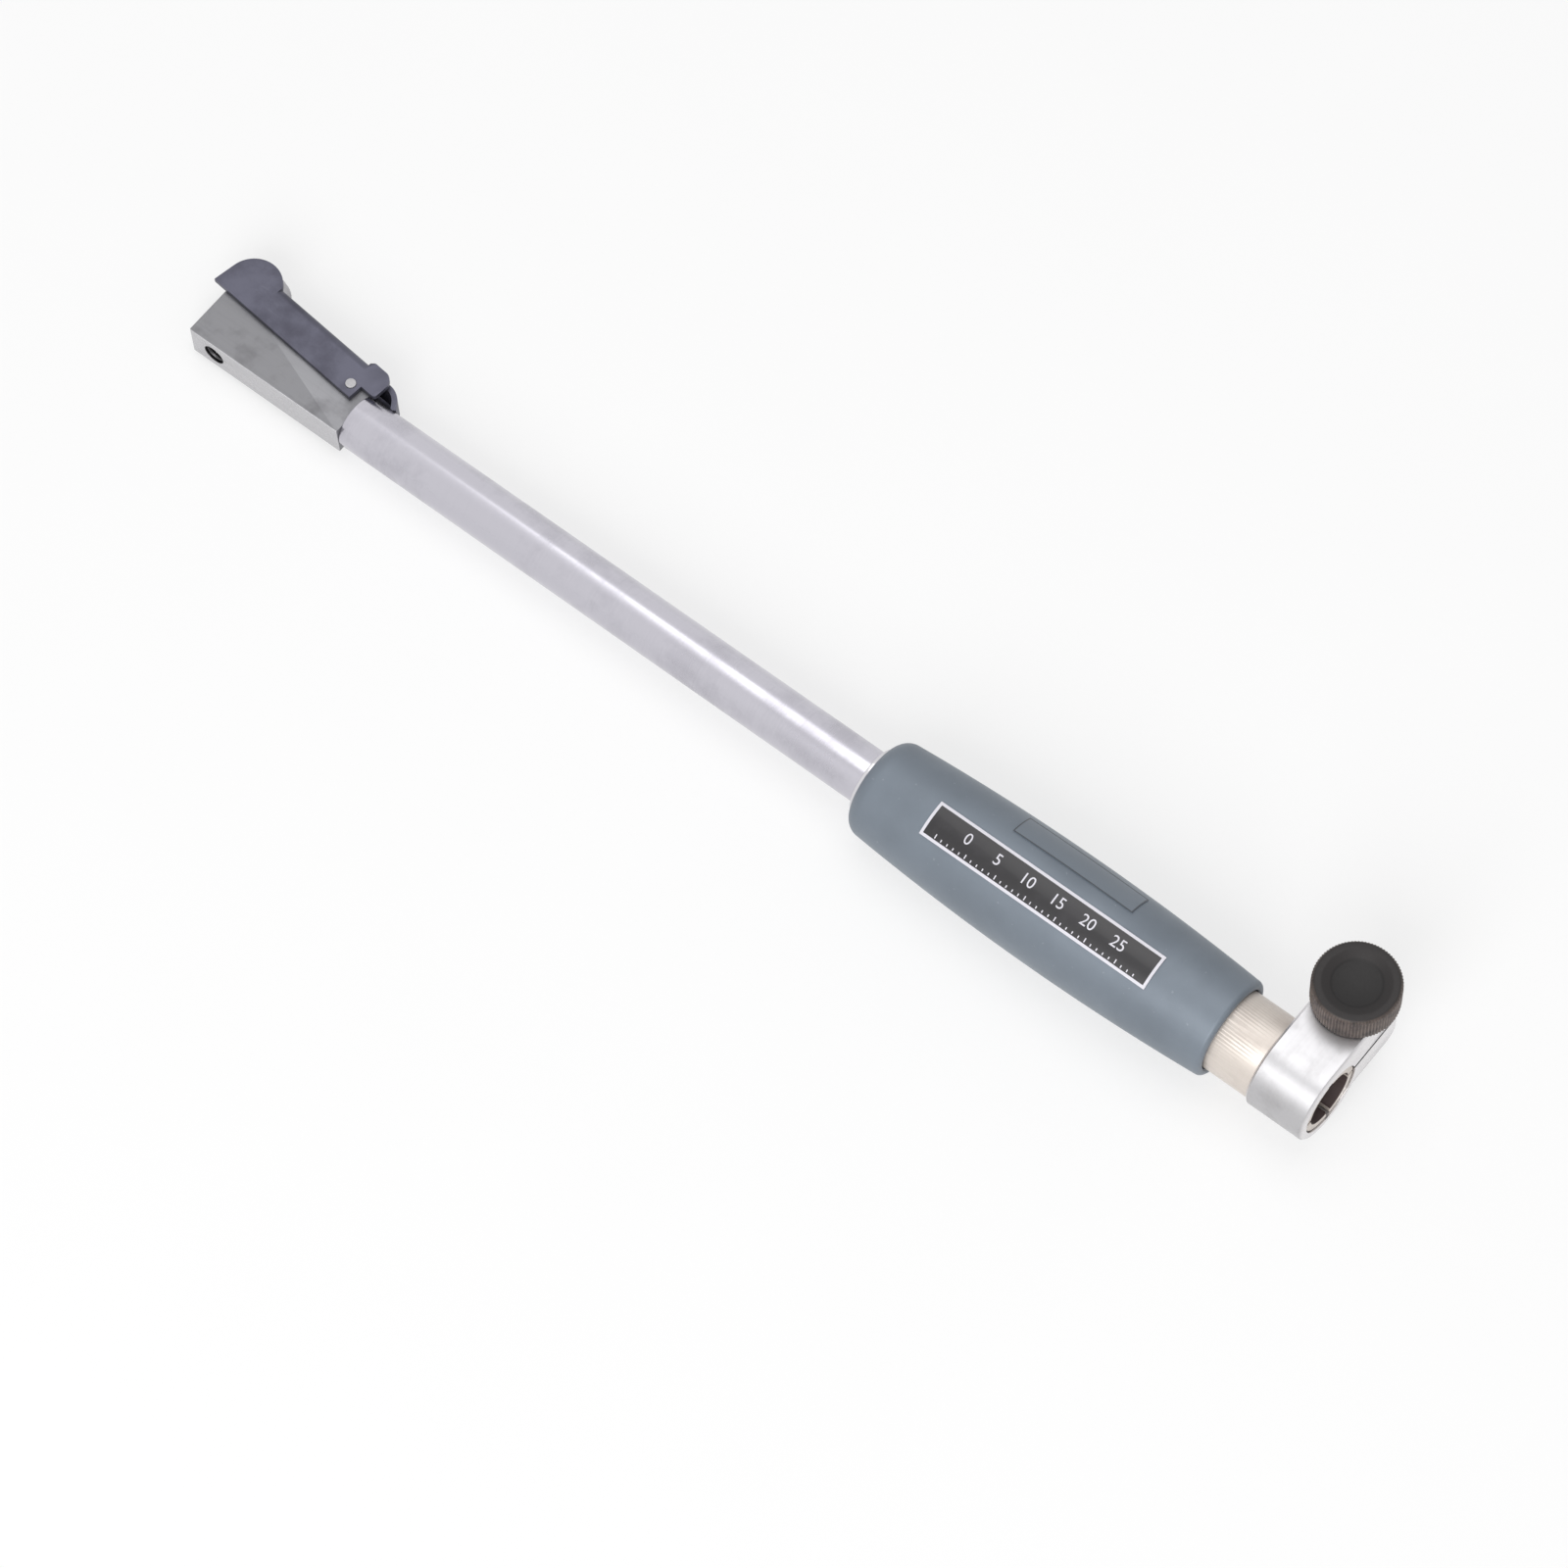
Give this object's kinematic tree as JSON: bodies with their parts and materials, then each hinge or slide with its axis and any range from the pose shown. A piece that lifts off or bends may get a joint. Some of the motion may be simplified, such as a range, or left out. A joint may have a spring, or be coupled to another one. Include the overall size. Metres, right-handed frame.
{
  "type": "dial bore gauge body",
  "caption": "Bore gauge body: slotted clamp bore for a dial indicator, barrel grip and slim stem, with a sprung side contact, folded centring guard and threaded anvil hole at the head.",
  "frame": {"origin": "centre of the mouth of the indicator bore", "axes": "+X out of the indicator bore along the stem; +Y the measuring direction, towards the movable contact; +Z the axis of the thumb knob"},
  "size_m": [0.1981, 0.0258, 0.0203],
  "materials": {
    "head_steel": "fine ground steel",
    "guard_sheet": "satin blue-grey plated sheet",
    "tube_chrome": "satin chrome",
    "ring_chrome": "bright chrome",
    "grip_plastic": "satin blue-grey",
    "neck_satin": "satin nickel, warm",
    "clamp_steel": "satin nickel with bright edges",
    "knob_black": "blackened, satin",
    "screw_steel": "plain steel",
    "pin_steel": "ground steel",
    "contact_steel": "hardened, polished",
    "tip_carbide": "lapped hard metal",
    "rod_steel": "drawn steel",
    "bush_brass": "turned brass",
    "spring_steel": "spring wire",
    "label_black": "printed film",
    "label_grey": "printed film"
  },
  "bodies": {
    "frame": {"stem_tube": "tube_chrome", "neck_sleeve": "neck_satin", "grip": "grip_plastic", "grip_ring": "ring_chrome", "range_label": "label_black", "plain_label": "label_grey", "clamp_block": "clamp_steel", "head_body": "head_steel", "crank_pin": "pin_steel", "upper_guide_bush": "bush_brass", "lower_guide_bush": "bush_brass", "rod_spring": "spring_steel", "guard_pin": "pin_steel", "guard_spring": "spring_steel"},
    "contact": {"plunger": "contact_steel", "contact_tip": "tip_carbide"},
    "crank": {"bell_crank": "rod_steel"},
    "rod": {"push_rod": "rod_steel", "rod_cap": "pin_steel", "rod_collar": "bush_brass"},
    "guard": {"centring_guard": "guard_sheet"},
    "screw": {"clamp_screw": "screw_steel"},
    "knob": {"thumb_knob": "knob_black"}
  },
  "joints": [
    {"name": "rod_slide", "type": "slide", "parent": "frame", "child": "rod", "axis": [1, 0, 0], "range_m": [0, 0.0012], "stiffness_N_per_m": 1500, "springref_m": -0.002, "deforming": ["rod_spring"]},
    {"name": "contact_slide", "type": "slide", "parent": "frame", "child": "contact", "axis": [0, -1, 0], "range_m": [0, 0.0012]},
    {"name": "crank_turn", "type": "hinge", "parent": "frame", "child": "crank", "pos_m": [-0.1867, 0.0034, 0], "axis": [0, 0, 1], "range_deg": [0, 20.34]},
    {"name": "guard_swing", "type": "hinge", "parent": "frame", "child": "guard", "pos_m": [-0.17035, 0.00265, 0], "axis": [0, 0, 1], "range_deg": [0, 6], "stiffness_Nm_per_rad": 0.1, "springref_deg": -11.46, "deforming": ["guard_spring"]},
    {"name": "screw_lift", "type": "slide", "parent": "frame", "child": "screw", "axis": [0, 0, 1], "range_m": [0, 0.0005]},
    {"name": "knob_turn", "type": "hinge", "parent": "screw", "child": "knob", "pos_m": [-0.0044, 0.0112, 0.00668], "axis": [0, 0, 1], "range_deg": [0, 360.1]}
  ],
  "couplings": [
    {"joint": "contact_slide", "follows": "rod_slide", "ratio": 1},
    {"joint": "crank_turn", "follows": "rod_slide", "rad_per_m": 295.67},
    {"joint": "knob_turn", "follows": "screw_lift", "rad_per_m": 12566}
  ]
}
